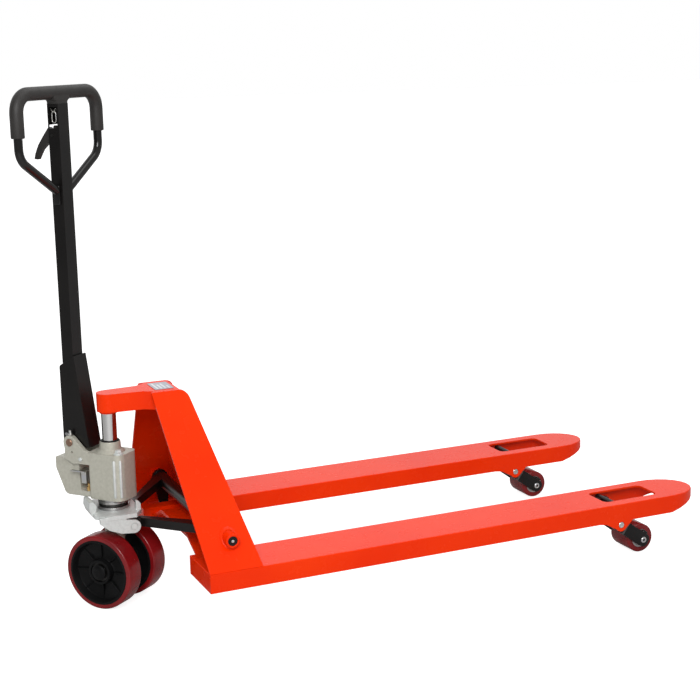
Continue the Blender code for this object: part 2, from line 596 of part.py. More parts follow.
# ---------------------------------------------------------------- steer wheels
def make_steer_wheel(body, side, sign):
    """A nylon hub with a urethane tyre, its bearing and the cap on the end of the axle."""
    near = STEER_WHEEL_INNER_Y

    def wheel_part(name, profile, finish, segments):
        spun = turned([(radius, near + height) for radius, height in profile], "Y", (0, 0, STEER_WHEEL_R), segments)
        if sign < 0:
            bmesh.ops.scale(spun, vec=(1, -1, 1), verts=spun.verts)
        body.add(f"{name}_{side}", spun, finish)

    width = STEER_WHEEL_W
    inner = STEER_WHEEL_R - 0.011
    wheel_part("steer_tyre", [(inner, 0.001), (STEER_WHEEL_R - 0.003, 0.001), (STEER_WHEEL_R, 0.004),
                              (STEER_WHEEL_R, width - 0.004), (STEER_WHEEL_R - 0.003, width - 0.001),
                              (inner, width - 0.001)], "red_urethane", 40)
    rim = inner - GAP
    wheel_part("steer_hub", [(rim, 0), (rim, width), (rim - 0.006, width), (rim - 0.010, 0.030), (0.033, 0.028),
                             (0.030, width - 0.004), (0.0233, width - 0.004), (0.0233, 0.004), (0.030, 0.004),
                             (0.033, 0.020), (rim - 0.010, 0.022), (rim - 0.006, 0)], "black_nylon", 28)
    wheel_part("wheel_bearing", [(0.010 + GAP, 0.012), (0.0230, 0.012), (0.0230, 0.040), (0.010 + GAP, 0.040)], "steel", 24)
    end = 0.072 - near + GAP
    wheel_part("axle_cap", [(0, end), (0.019, end), (0.019, end + 0.003), (0.016, end + 0.006), (0, end + 0.006)],
               "black_nylon", 24)


# ---------------------------------------------------------------- handle
def channel(x, half, wall, z):
    """An upright channel, open towards -X."""
    outline = [(x[0], -half), (x[1], -half), (x[1], half), (x[0], half), (x[0], half - wall),
               (x[1] - wall, half - wall), (x[1] - wall, wall - half), (x[0], wall - half)]
    return prism(outline, *z)


def make_bracket(handle):
    """Two cheeks that widen towards the pivot, and the sloping web that joins their front edges."""
    foot = HANDLE_PIVOT.z - 0.012
    wall, half = 0.004, 0.024
    front_foot, front_top = (-0.043, foot), (-0.0735, 0.597)
    web = [front_foot, front_top, (front_top[0] - wall, front_top[1]), (front_foot[0] - wall, foot)]
    bracket = handle.add("handle_bracket", prism(web, -half, half, "Y"), "black_paint")
    cheek = rounded([(-0.116, foot), front_foot, front_top, (-0.116, 0.572)], [0.010, 0, 0, 0.008], 4)
    join(bracket, prism(cheek, half - wall, half, "Y"), prism(cheek, -half, wall - half, "Y"))
    cut(bracket, rod(0.009 + GAP, -0.05, 0.05, "Y", HANDLE_PIVOT, 20),
        rod(0.004 + GAP, -0.05, 0.05, "Y", PRESSURE_ROLLER, 12))


def tee_outline():
    """The middle of the crossbar seen from behind: as wide as the mast, with a fillet on each side."""
    half, fillet = 0.0195, 0.009
    under = CROSSBAR_Z - GRIP_R
    right = [(half, 1.184 + GAP), *arc((half + fillet, under - fillet), fillet, 180, 90, 4), (half + fillet, CROSSBAR_Z)]
    return right + [(-y, z) for y, z in reversed(right)]


def loop_path(end_z=None):
    """The middle line of the handle's loop, from one weld up and over to the other."""
    start, knee = (0.025, 0.9875), (LOOP_HALF_WIDTH, 1.065)
    corner = (LOOP_HALF_WIDTH, CROSSBAR_Z)
    bend = rounded([start, knee, corner, (0, CROSSBAR_Z)], [0, 0.045, 0.042, 0], 5)
    half = [point for point in bend if end_z is None or point[1] > end_z]
    if end_z is not None:
        half = [(LOOP_HALF_WIDTH, end_z)] + [point for point in half if point[1] > end_z + 0.02]
    points = half[:-1] + [(-y, z) for y, z in reversed(half[:-1])]
    return [(HANDLE_X, y, z) for y, z in points]


def make_handle(handle):
    make_bracket(handle)
    mast = handle.add("handle_mast", channel((-0.110, -0.079), 0.019, 0.003, (0.425, 1.184)), "black_paint")
    cut(mast, block((-0.1075, -0.0835), (-0.030, 0), (1.128, 1.176)),
        rod(0.003 + GAP, -0.05, 0.05, "Y", LEVER_PIVOT, 12))
    handle.add("handle_loop", sweep(loop_path(), TUBE_R, 10), "black_paint")
    grip = handle.add("handle_grip", sweep(loop_path(GRIP_END_Z), GRIP_R, 12), "black_plastic")
    join(grip, prism(tee_outline(), -0.111, -0.078, "X"))
    cut(grip, sweep(loop_path(), TUBE_R + GAP, 10))
    roller = turned([(0, -0.0245), (0.004, -0.0245), (0.004, -0.012), (0.010, -0.012), (0.010, 0.012),
                     (0.004, 0.012), (0.004, 0.0245), (0, 0.0245)], "Y", PRESSURE_ROLLER, 20)
    handle.add("pressure_roller", roller, "steel")
    handle.add("lever_pin", rod(0.003, -0.020, 0.020, "Y", LEVER_PIVOT, 12), "zinc")


def make_control_lever(control):
    """The three-position finger lever, with a hub and a short arm inside the mast."""
    x, z = xz(LEVER_PIVOT)
    outer = [(x - 0.004, z + 0.010), (x - 0.020, z + 0.018), (-0.139, 1.106), (-0.152, 1.088), (-0.161, 1.069),
             (-0.1645, 1.056), (-0.155, 1.055), (-0.150, 1.064), (-0.141, 1.078), (-0.124, 1.093), (x, z - 0.011)]
    lever = control.add("control_lever", prism(outer, -0.006, 0.006, "Y"), "black_plastic")
    arm = hull([((x, z), 0.0085), ((-0.103, 1.130), 0.004)], 12)
    join(lever, prism(arm, -0.004, 0.004, "Y"), rod(0.009, -0.0145, 0.0145, "Y", LEVER_PIVOT, 20))
    cut(lever, rod(0.003 + GAP, -0.05, 0.05, "Y", LEVER_PIVOT, 12))


def make_release_rod(release_rod):
    """The rod inside the mast that works the release lever, with the clip link on its top end."""
    x = RELEASE_ROD_X
    pull = release_rod.add("release_rod", rod(0.0022, 0.430, 1.1465, centre=(x, 0, 0), segments=10), "zinc")
    link = arc((x, 1.1650), 0.0042, 0, 180, 6) + arc((x, 1.1510), 0.0042, 180, 360, 6)
    path = [(a, 0, b) for a, b in link]
    path.append(path[0])
    join(pull, closed_sweep(path[:-1], 0.0014, 6))


def closed_sweep(path, radius, sides):
    """A round bar along a closed flat path in the XZ plane."""
    shape = bmesh.new()
    points = [Vector(point) for point in path]
    count = len(points)
    rings = []
    for index, point in enumerate(points):
        along = (points[(index + 1) % count] - points[index - 1]).normalized()
        out = along.cross(Vector((0, 1, 0)))
        angles = [math.tau * step / sides for step in range(sides)]
        rings.append([shape.verts.new(point + radius * (out * math.cos(a) + Vector((0, math.sin(a), 0)))) for a in angles])
    for index in range(count):
        near, far = rings[index], rings[(index + 1) % count]
        for step in range(sides):
            after = (step + 1) % sides
            shape.faces.new((near[step], near[after], far[after], far[step]))
    return shape


# ---------------------------------------------------------------- the truck
def build():
    frame = Body("truck", at=(STEER_AXIS_X, 0, 0))
    make_frame(frame)
    make_rocker(Body("rocker_pivot", frame, ROCKER_AXIS))
    for side, sign in SIDES:
        shift = Vector((0, sign * FORK_Y, 0))
        make_push_rod(Body(f"push_rod_pivot_{side}", frame, ROD_REAR), side, sign)
        make_wheel_fork(Body(f"wheel_fork_pivot_{side}", frame, WHEEL_FORK_AXIS), side, sign)
        make_roller(Body(f"roller_pivot_{side}", frame, ROLLER_AXLE), side, sign)

    thrust = Body("lift_slide", frame)
    make_thrust_plate(thrust)
    pump = Body("steer_pivot", thrust, turn=STEER_ANGLE)
    make_pump(pump)
    make_release_lever(Body("release_pivot", pump, (-0.057, 0, 0.300)))
    make_plunger(Body("plunger_slide", pump, (-0.111, 0, PRESSURE_ROLLER.z)))
    for side, sign in SIDES:
        make_steer_wheel(Body(f"steer_wheel_axis_{side}", pump, (0, 0, STEER_WHEEL_R)), side, sign)
    handle = Body("handle_pivot", pump, HANDLE_PIVOT)
    make_handle(handle)
    make_control_lever(Body("control_pivot", handle, LEVER_PIVOT))
    make_release_rod(Body("release_rod_slide", handle, (RELEASE_ROD_X, 0, 1.150)))


build()
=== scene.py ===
# %% [markdown]
# # A hand pallet truck
# The truck's solids come from its CAD model, and this lesson gives them their looks: rounded
# edges, turned wheels, bent tubes and painted, plated and moulded finishes. Everything rides on
# the CAD model's moving bodies, so the lesson's pieces follow the lift, the steering and the handle.

import math

import bmesh
import bpy
from mathutils import Matrix, Vector


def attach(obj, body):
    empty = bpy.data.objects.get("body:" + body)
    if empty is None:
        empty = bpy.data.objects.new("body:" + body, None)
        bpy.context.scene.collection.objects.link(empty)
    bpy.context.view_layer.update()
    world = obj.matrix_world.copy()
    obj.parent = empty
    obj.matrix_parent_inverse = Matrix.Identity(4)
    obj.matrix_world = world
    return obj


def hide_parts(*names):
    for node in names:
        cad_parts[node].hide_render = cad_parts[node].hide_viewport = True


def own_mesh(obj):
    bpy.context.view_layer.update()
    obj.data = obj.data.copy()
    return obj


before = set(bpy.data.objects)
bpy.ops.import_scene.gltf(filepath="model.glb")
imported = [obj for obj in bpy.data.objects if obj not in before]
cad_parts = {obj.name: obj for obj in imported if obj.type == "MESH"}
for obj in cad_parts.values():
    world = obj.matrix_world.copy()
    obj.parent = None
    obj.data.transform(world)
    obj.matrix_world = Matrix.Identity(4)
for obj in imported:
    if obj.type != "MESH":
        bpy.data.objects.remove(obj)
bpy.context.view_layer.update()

# %% [markdown]
# ## Where things are
# The CAD model is measured from its steering axis, and the whole steering unit (pump, wheels and
# handle) stands turned about that axis. Two matrices say so once: a shape that is drawn straight
# ahead is put in place with TRUCK if it belongs to the frame, or with STEERED if it turns.

# %% Two places to build from
STEER_AXIS_X = -0.6393
TRUCK = Matrix.Translation((STEER_AXIS_X, 0, 0))
STEERED = TRUCK @ Matrix.Rotation(math.radians(-50), 4, "Z")
SIDES = (("left", 1), ("right", -1))
FORK_Y = 0.2675

# %% [markdown]
# ## Writing shader maths as sums
# A finish is a small sum: a base value plus some noise, times a strength. Wiring that by hand
# takes many lines, so one class wraps a node's output and lets Python's own + and * build the Math
# nodes. Every other node goes through its one method, `node`.

# %% A class for shader sums
class Field:
    """A quantity that varies over a surface."""

    def __init__(self, tree, socket):
        self.tree = tree
        self.socket = socket

    def node(self, kind, settings, inputs, output=0):
        """Adds a node, first with its settings, then with numbers or fields in its sockets."""
        made = self.tree.nodes.new(kind)
        for name, value in settings.items():
            if name == "stops":
                for stop, (position, colour) in zip(made.color_ramp.elements, value):
                    stop.position = position
                    stop.color = (*colour, 1)
            else:
                setattr(made, name, value)
        for name, value in inputs.items():
            if isinstance(value, Field):
                self.tree.links.new(value.socket, made.inputs[name])
            else:
                made.inputs[name].default_value = value
        return Field(self.tree, made.outputs[output])

    def math(self, operation, first, second):
        return self.node("ShaderNodeMath", {"operation": operation}, {0: first, 1: second})

    def __add__(self, other):
        return self.math("ADD", self, other)

    __radd__ = __add__

    def __mul__(self, other):
        return self.math("MULTIPLY", self, other)

    __rmul__ = __mul__


# %% [markdown]
# Four patterns do nearly all the work here. Noise in Object coordinates has a real size: a scale
# of 100 gives blotches about a centimetre wide, because the objects are in metres. A ramp turns a
# pattern into a colour, and a bump turns it into a surface that the light can show.

# %% Patterns that the finishes share
def noise(place, scale, detail=2.0, stretch=(1, 1, 1)):
    """Blotches of about 1 / scale metres, drawn out along the axes where stretch is small."""
    sized = place.node("ShaderNodeMapping", {}, {"Vector": place, "Scale": stretch})
    return place.node("ShaderNodeTexNoise", {}, {"Vector": sized, "Scale": scale, "Detail": detail})


def colours(pattern, first, second, low=0.3, high=0.7):
    """A colour between two, by the pattern."""
    return pattern.node("ShaderNodeValToRGB", {"stops": [(low, first), (high, second)]}, {"Fac": pattern})


def bumps(pattern, height, edge=0.0):
    """A surface with that relief in metres. edge also rounds the solid's sharp edges by that radius."""
    sockets = {"Height": pattern, "Distance": height, "Strength": 1.0}
    if edge:
        sockets["Normal"] = pattern.node("ShaderNodeBevel", {"samples": 6}, {"Radius": edge})
    return pattern.node("ShaderNodeBump", {}, sockets)


def finish(name, recipe, **constants):
    """A material. Its recipe gives what varies, and the constants go on the shader's own sockets."""
    made = bpy.data.materials.new(name)
    made.use_nodes = True
    tree = made.node_tree
    shader = tree.nodes["Principled BSDF"]
    for socket, value in constants.items():
        shader.inputs[socket.replace("_", " ")].default_value = value
    place = Field(tree, tree.nodes.new("ShaderNodeTexCoord").outputs["Object"])
    for socket, value in recipe(place).items():
        tree.links.new(value.socket, shader.inputs[socket])
    made["slot"] = name.split("-")[0]
    return made


def moulded(dark, light, rough, grain):
    """A fine, even grain between two shades, as on moulded plastic."""
    def recipe(place):
        speckle = noise(place, grain, 3.0)
        return {"Base Color": colours(noise(place, 20, 2.0), dark, light),
                "Roughness": rough + 0.14 * speckle,
                "Normal": bumps(speckle, 0.00008, 0.0008)}
    return recipe


# %% [markdown]
# ## Paints
# Powder coat melts into a thick skin, glossy but never quite flat: it has a fine orange-peel
# relief a few millimetres across. A low index of refraction keeps its colour deep from the front
# and still lets it go pale at a low angle, as on the decks. The casting's silver paint is thinner,
# so the sand-cast grain shows through.

# %% Orange enamel, black enamel and silver paint
def orange_recipe(place):
    peel = noise(place, 260, 1.0)
    cloud = noise(place, 5, 2.0)
    return {"Base Color": colours(cloud, (0.80, 0.026, 0.0004), (0.86, 0.036, 0.0008)),
            "Roughness": 0.20 + 0.12 * noise(place, 34, 3.0),
            "Normal": bumps(peel, 0.00005, 0.0015)}


def black(rough):
    """Black enamel, from glossy to satin."""
    def recipe(place):
        peel = noise(place, 300, 1.0)
        cloud = noise(place, 12, 2.0)
        return {"Base Color": colours(cloud, (0.0045, 0.0040, 0.0038), (0.0075, 0.0066, 0.0062)),
                "Roughness": rough + 0.14 * noise(place, 45, 3.0),
                "Normal": bumps(peel, 0.00005, 0.0010)}
    return recipe


def silver(dark, light):
    """Satin silver paint on a casting, between two shades."""
    def recipe(place):
        grain = noise(place, 700, 3.0)
        sand = noise(place, 140, 4.0)
        return {"Base Color": colours(sand, dark, light),
                "Roughness": 0.34 + 0.14 * sand,
                "Normal": bumps(grain + 0.4 * sand, 0.00006, 0.0020)}
    return recipe


orange_paint = finish("orange_paint", orange_recipe, IOR=1.20)
black_paint = finish("black_paint", black(0.24), IOR=1.34)
gloss_black = finish("black_paint-gloss", black(0.08), IOR=1.42)
worn_black = finish("black_paint-worn", moulded((0.060, 0.058, 0.056), (0.085, 0.082, 0.078), 0.36, 500),
                    IOR=1.4)
silver_paint = finish("silver_paint", silver((0.44, 0.43, 0.365), (0.51, 0.50, 0.43)),
                      Metallic=0.25, IOR=1.35)
pale_silver = finish("silver_paint-pale", silver((0.58, 0.605, 0.59), (0.68, 0.705, 0.69)),
                     Metallic=0.30, IOR=1.4)
print("paints:", orange_paint.name, black_paint.name, silver_paint.name)

# %% [markdown]
# ## Metals
# Bare and plated steel differ mostly in their roughness. Ground parts carry fine scratches that
# run one way, so the noise is drawn out along the piece. Zinc plate has faint blue and yellow clouds.

# %% Chrome, zinc, steel and brass
def chrome_recipe(place):
    return {"Roughness": 0.10 + 0.10 * noise(place, 900, 2.0, (1, 1, 0.02))}


def zinc_recipe(place):
    cloud = noise(place, 40, 3.0)
    return {"Base Color": colours(cloud, (0.56, 0.58, 0.63), (0.68, 0.66, 0.58)),
            "Roughness": 0.24 + 0.18 * noise(place, 300, 3.0),
            "Normal": bumps(cloud, 0.00003, 0.0006)}


def turned_metal(dark, light):
    """Machined metal between two shades, with turning marks."""
    def recipe(place):
        turning = noise(place, 800, 2.0, (1, 1, 0.05))
        return {"Base Color": colours(noise(place, 30, 2.0), dark, light),
                "Roughness": 0.26 + 0.20 * turning,
                "Normal": bumps(turning, 0.00002, 0.0006)}
    return recipe


def brass_recipe(place):
    return {"Base Color": colours(noise(place, 60, 3.0), (0.58, 0.36, 0.13), (0.74, 0.50, 0.21)),
            "Roughness": 0.22 + 0.20 * noise(place, 200, 3.0)}


chrome = finish("chrome", chrome_recipe, Metallic=1.0, Base_Color=(0.62, 0.61, 0.60, 1))
zinc = finish("zinc", zinc_recipe, Metallic=1.0)
steel = finish("steel", turned_metal((0.36, 0.36, 0.37), (0.47, 0.46, 0.45)), Metallic=1.0)
# Dark steel, a painted shade: it goes where steel sits deep in a hub, in the groove between bearing races,
# and on the lever pin.
painted_shade_steel = finish("steel-oiled", turned_metal((0.035, 0.034, 0.033), (0.060, 0.058, 0.055)), Metallic=0.9)
bronzed_steel = finish("steel-bronzed", turned_metal((0.28, 0.17, 0.12), (0.38, 0.25, 0.19)), Metallic=0.8)
brass = finish("brass", brass_recipe, Metallic=1.0)

# %% [markdown]
# ## Plastics and rubber
# Polyurethane tyres are cast and then turned, so they are glossy and a deep red; the real lathe rings are
# left out, and a faint fine relief stands in. The nylon hubs and the grip are moulded, with a fine even
# grain.

# %% Urethane, nylon, grip plastic, seal and label
def urethane_recipe(place):
    cloud = noise(place, 18, 2.0)
    return {"Base Color": colours(cloud, (0.150, 0.004, 0.006), (0.230, 0.008, 0.010)),
            "Roughness": 0.16 + 0.16 * noise(place, 70, 3.0),
            "Normal": bumps(noise(place, 400, 2.0), 0.00004)}


red_urethane = finish("red_urethane", urethane_recipe, IOR=1.42)
black_nylon = finish("black_nylon", moulded((0.0030, 0.0030, 0.0032), (0.0060, 0.0060, 0.0062), 0.34, 500),
                     IOR=1.22)
black_plastic = finish("black_plastic", moulded((0.018, 0.0165, 0.0155), (0.026, 0.024, 0.0225), 0.46, 900),
                       IOR=1.42)
seal_rubber = finish("seal_rubber", moulded((0.008, 0.008, 0.008), (0.016, 0.016, 0.016), 0.55, 600), IOR=1.3)
label_film = finish("label_film", moulded((0.33, 0.35, 0.40), (0.39, 0.41, 0.46), 0.30, 400))
label_light = finish("label_film-light", moulded((0.60, 0.62, 0.66), (0.70, 0.72, 0.75), 0.30, 400))
print("finishes:", len(bpy.data.materials))

# %% [markdown]
# ## Putting a piece on the truck
# Every piece ends in the same way: its shape is moved to its place, its faces are turned to the
# outside, and it rides on a body. Round faces are shaded smooth, and edges sharper than 35
# degrees stay crisp. Where a piece stands for CAD solids, those are hidden.

# %% Finish a shape as a piece
def piece(name, shape, material, body, stands_for=(), where=TRUCK):
    """Turns a bmesh into a named piece that rides on a body."""
    bmesh.ops.transform(shape, matrix=where, verts=shape.verts)
    bmesh.ops.recalc_face_normals(shape, faces=shape.faces)
    mesh = bpy.data.meshes.new(name)
    shape.to_mesh(mesh)
    shape.free()
    mesh.shade_smooth()
    mesh.set_sharp_from_angle(angle=math.radians(35))
    mesh.materials.append(material)
    made = bpy.data.objects.new(name, mesh)
    bpy.context.collection.objects.link(made)
    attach(made, body)
    if stands_for:
        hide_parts(*stands_for)
    return made


def round_edges(shape, width, segments=2, angle=40, pick=None):
    """Bevels the edges that are sharper than an angle, or those of them that pick() chooses."""
    sharp = [edge for edge in shape.edges if len(edge.link_faces) == 2
             and edge.calc_face_angle() > math.radians(angle) and (pick is None or pick(edge))]
    bmesh.ops.bevel(shape, geom=sharp, offset=width, offset_type="OFFSET", segments=segments,
                    profile=0.5, affect="EDGES", material=-1, clamp_overlap=True)


# %% [markdown]
# ## Sheet metal from the CAD solids
# The forks, panels and plates already have the right shape, but their edges are knife sharp, and
# a real bent or ground edge catches the light. A CAD solid is a bag of loose triangles, so a copy
# of it is welded first, its flat triangles are joined in pairs, and a Bevel modifier rounds the
# edges. Pairs are enough, and they keep a face with a hole in it sound, which one large face
# wouldn't. Weighted normals keep the flat faces flat next to those small rounds.

# %% Weld a copy of a CAD solid
def tidy_flats(shape):
    """Welds loose triangles and joins those that lie in one plane into quads."""
    bmesh.ops.remove_doubles(shape, verts=shape.verts, dist=2e-5)
    bmesh.ops.join_triangles(shape, faces=shape.faces, angle_face_threshold=math.radians(0.6),
                             angle_shape_threshold=math.pi)


def welded(node):
    shape = bmesh.new()
    shape.from_mesh(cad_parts[node].data)
    tidy_flats(shape)
    return shape


def edged(made, width, segments=2, clamp=True):
    """Rounds a finished piece's sharp edges with modifiers."""
    bevel = made.modifiers.new("edges", "BEVEL")
    bevel.width = width
    bevel.segments = segments
    bevel.limit_method = "ANGLE"
    bevel.angle_limit = math.radians(40)
    bevel.use_clamp_overlap = clamp
    shading = made.modifiers.new("shading", "WEIGHTED_NORMAL")
    shading.keep_sharp = True
    return made


def sheet_metal(node, material, body, width=0.0010, segments=2):
    """A welded, edge-rounded copy that stands for one CAD solid."""
    return edged(piece(f"{node}_sheet", welded(node), material, body, (node,), Matrix()), width, segments)


# %% [markdown]
# ### Forks
# Each fork is a folded channel, so the long top edges have a real bend radius of several
# millimetres and show it as a bright line. Those edges are picked by where they lie and get a
# wide bevel first. The plate's cut edges get a small one.

# %% Forks with bent top edges
FORK_TOP = 0.150
FORK_SIDE = 0.0745
FORK_NOSE_X = 1.362


def level_deck(shape):
    """Fills the 0.3 mm deep seat under the panels, which is too shallow to see."""
    for vert in shape.verts:
        if FORK_TOP - 0.0004 < vert.co.z < FORK_TOP:
            vert.co.z = FORK_TOP
    tidy_flats(shape)


def on_top_outline(edge):
    """True on the outer edge of the deck, and false round the window."""
    if any(abs(vert.co.z - FORK_TOP) > 1e-4 for vert in edge.verts):
        return False
    across = [abs(abs(vert.co.y) - FORK_Y) for vert in edge.verts]
    beyond = [vert.co.x - STEER_AXIS_X > FORK_NOSE_X for vert in edge.verts]
    return all(far > FORK_SIDE or past for far, past in zip(across, beyond))


for side, sign in SIDES:
    shape = welded(f"fork_{side}")
    level_deck(shape)
    round_edges(shape, 0.0042, 4, 50, on_top_outline)
    made = piece(f"fork_{side}_channel", shape, orange_paint, "frame", (f"fork_{side}",), Matrix())
    edged(made, 0.0009)
    print(made.name, len(made.data.polygons), "faces")

# %% [markdown]
# ### The frame's plates
# The side panels, the leaning load stop and the tie plate are flame-cut plate, so a small round
# is enough. The crosshead on top is a pressed cap with a softer edge.

# %% Panels, plates and crosshead
for side, sign in SIDES:
    sheet_metal(f"side_panel_{side}", orange_paint, "frame", 0.0014, 3)
    sheet_metal(f"pivot_boss_{side}", orange_paint, "frame", 0.0012, 3)
sheet_metal("load_stop_plate", orange_paint, "frame")
sheet_metal("cross_member", orange_paint, "frame")
sheet_metal("crosshead", orange_paint, "frame", 0.0045, 4)

# %% [markdown]
# The linkage, the handle's column and the castings get the same treatment in their own finishes.
# A casting's or a lever's edge is rounder than a plate's.

# %% Linkage, handle column and levers
for side, sign in SIDES:
    sheet_metal(f"push_rod_{side}", black_paint, f"push_rod_{side}", 0.0008)
    sheet_metal(f"wheel_fork_{side}", black_paint, f"wheel_fork_{side}", 0.0006)
sheet_metal("rocker_arm", black_paint, "rocker", 0.0008)
sheet_metal("handle_bracket", black_paint, "handle", 0.0010)
sheet_metal("handle_mast", black_paint, "handle", 0.0012, 3)
sheet_metal("control_lever", black_plastic, "control_lever", 0.0018, 3)
sheet_metal("thrust_plate", pale_silver, "thrust", 0.0010)
sheet_metal("pump_body", silver_paint, "pump", 0.0012)
sheet_metal("release_lever", zinc, "release_lever", 0.0008)

# %% [markdown]
# ## Turned parts
# Anything round is a profile that spins about its axis, as on a lathe. The profile is a few
# vertices joined by edges, and bmesh's spin operator carries it round. Corners are then bevelled,
# as a turner breaks an edge.

# %% A lathe
TO_Y = Matrix.Rotation(math.radians(-90), 4, "X")


def lathe(profile, segments=64, turn=Matrix(), centre=(0, 0, 0)):
    """Spins (radius, height) points about Z, then turns and moves the result."""
    shape = bmesh.new()
    points = [shape.verts.new((radius, 0, height)) for radius, height in profile]
    edges = [shape.edges.new(pair) for pair in zip(points, points[1:])]
    if min(radius for radius, height in profile) > 0:
        edges.append(shape.edges.new((points[-1], points[0])))
    bmesh.ops.spin(shape, geom=points + edges, cent=(0, 0, 0), axis=(0, 0, 1), angle=math.tau,
                   steps=segments, use_merge=True)
    bmesh.ops.remove_doubles(shape, verts=shape.verts, dist=1e-6)
    bmesh.ops.transform(shape, matrix=Matrix.Translation(centre) @ turn, verts=shape.verts)
    return shape


# %% [markdown]
# ### Steer wheels
# A cast urethane tyre sits on a moulded nylon hub. The hub is dished on its outer side and
# stiffened by thin radial ribs, which are one bar, copied round by spin with use_duplicate. The
# ribs are low, so they only just show in the dark dish.

# %% Tyres and ribbed hubs
STEER_WHEEL_R = 0.090
WHEEL_NEAR_Y = 0.026


def on_side(shape, sign):
    """Leaves a shape on the left, or mirrors it to the right."""
    if sign < 0:
        bmesh.ops.scale(shape, vec=(1, -1, 1), verts=shape.verts)
    return shape


def wheel_shape(profile, segments, sign):
    """A wheel part from (radius, distance from the wheel's inner face), for either side."""
    shape = lathe([(radius, WHEEL_NEAR_Y + out) for radius, out in profile], segments, TO_Y,
                  (0, 0, STEER_WHEEL_R))
    return on_side(shape, sign)


def box_shape(low, high):
    """A box between two corners."""
    shape = bmesh.new()
    low, high = Vector(low), Vector(high)
    size = Matrix.Diagonal((*(high - low), 1))
    bmesh.ops.create_cube(shape, size=1, matrix=Matrix.Translation((low + high) / 2) @ size)
    return shape


def hub_ribs(sign):
    """Thin radial ribs in the hub's dish."""
    count = 8
    shape = box_shape((0.0315, -0.0010, 0.0270), (0.0700, 0.0010, 0.0335))
    round_edges(shape, 0.0006, 2)
    bmesh.ops.spin(shape, geom=shape.verts[:] + shape.edges[:] + shape.faces[:], cent=(0, 0, 0),
                   axis=(0, 0, 1), angle=math.tau * (count - 1) / count, steps=count - 1,
                   use_duplicate=True)
    place = Matrix.Translation((0, WHEEL_NEAR_Y, STEER_WHEEL_R)) @ TO_Y
    bmesh.ops.transform(shape, matrix=place, verts=shape.verts)
    return on_side(shape, sign)


for side, sign in SIDES:
    body = f"steer_wheel_{side}"
    tyre = wheel_shape([(0.0790, 0.001), (0.090, 0.001), (0.090, 0.049), (0.0790, 0.049)], 96, sign)
    round_edges(tyre, 0.0040, 5, 60, lambda edge: min(math.hypot(
        v.co.x, v.co.z - STEER_WHEEL_R) for v in edge.verts) > 0.085)
    piece(f"steer_tyre_{side}_cast", tyre, red_urethane, body, (f"steer_tyre_{side}",), STEERED)
    hub = wheel_shape([(0.0787, 0), (0.0787, 0.050), (0.0735, 0.050), (0.0690, 0.032), (0.040, 0.028),
                       (0.0310, 0.030), (0.0295, 0.046), (0.0233, 0.046), (0.0233, 0.004), (0.030, 0.004),
                       (0.033, 0.020), (0.0690, 0.022), (0.0730, 0)], 72, sign)
    round_edges(hub, 0.0010, 2, 30)
    piece(f"steer_hub_{side}_moulded", hub, black_nylon, body, (f"steer_hub_{side}",), STEERED)
    piece(f"hub_ribs_{side}", hub_ribs(sign), black_nylon, body, (), STEERED)

# %% [markdown]
# The bearing is a ring deep in the hub, in steel painted dark as a painted shade for that recess, and a domed
# cap covers the axle's end.

# %% Bearings and axle caps
for side, sign in SIDES:
    body = f"steer_wheel_{side}"
    race = wheel_shape([(0.0103, 0.0125), (0.0228, 0.0125), (0.0228, 0.041), (0.0205, 0.041),
                        (0.0203, 0.0402), (0.0145, 0.0402), (0.0143, 0.041), (0.0103, 0.041)], 48, sign)
    piece(f"wheel_bearing_{side}_ring", race, painted_shade_steel, body, (f"wheel_bearing_{side}",), STEERED)
    cap = wheel_shape([(0, 0.0463), (0.0190, 0.0463), (0.0190, 0.0485), (0.0150, 0.0515), (0.0080, 0.0522),
                       (0, 0.0523)], 48, sign)
    piece(f"axle_cap_{side}_domed", cap, black_nylon, body, (f"axle_cap_{side}",), STEERED)

# %% [markdown]
# ### Load rollers
# The rollers under the fork tips are narrow and long: a urethane tread on a steel core, turned
# with broken corners, on an axle with a drilled end.

# %% Rollers, cores and axles
ROLLER_AXLE = (1.296, 0, 0.037)
WHEEL_FORK_AXIS = (1.215, 0, 0.095)
for side, sign in SIDES:
    where = TRUCK @ Matrix.Translation((0, sign * FORK_Y, 0))
    tread = lathe([(0.0243, -0.040), (0.037, -0.040), (0.037, 0.040), (0.0243, 0.040)],
                  72, TO_Y, ROLLER_AXLE)
    round_edges(tread, 0.0030, 4, 60, lambda edge: min(math.hypot(
        v.co.x - ROLLER_AXLE[0], v.co.z - ROLLER_AXLE[2]) for v in edge.verts) > 0.030)
    body = f"roller_{side}"
    piece(f"roller_tread_{side}_cast", tread, red_urethane, body, (f"roller_tread_{side}",), where)
    core = lathe([(0.0083, -0.0385), (0.0110, -0.0390), (0.0120, -0.0375), (0.0190, -0.0375),
                  (0.0200, -0.0390), (0.0240, -0.0390), (0.0240, 0.0390), (0.0200, 0.0390),
                  (0.0190, 0.0375), (0.0120, 0.0375), (0.0110, 0.0390), (0.0083, 0.0385)],
                 48, TO_Y, ROLLER_AXLE)
    piece(f"roller_core_{side}_turned", core, steel, body, (f"roller_core_{side}",), where)
    axle = lathe([(0, -0.0560), (0.0030, -0.0560), (0.0038, -0.0580), (0.0066, -0.0580), (0.0080, -0.0566),
                  (0.0080, 0.0566), (0.0066, 0.0580), (0.0038, 0.0580), (0.0030, 0.0560), (0, 0.0560)],
                 48, TO_Y, ROLLER_AXLE)
    piece(f"roller_axle_{side}_turned", axle, zinc, f"wheel_fork_{side}", (f"roller_axle_{side}",), where)
    pin = lathe([(0, -0.0737), (0.0028, -0.0737), (0.0036, -0.0755), (0.0068, -0.0755), (0.0080, -0.0743),
                 (0.0080, 0.0743), (0.0068, 0.0755), (0.0036, 0.0755), (0.0028, 0.0737), (0, 0.0737)],
                48, TO_Y, WHEEL_FORK_AXIS)
    piece(f"wheel_fork_pin_{side}_turned", pin, zinc, "frame", (f"wheel_fork_pin_{side}",), where)

# %% [markdown]
# ### Pump, ram and bearing
# The chromed ram rises from a wiper ring in the pump's collar. Below the casting, two bearing
# races and a cage let it turn on the thrust plate.

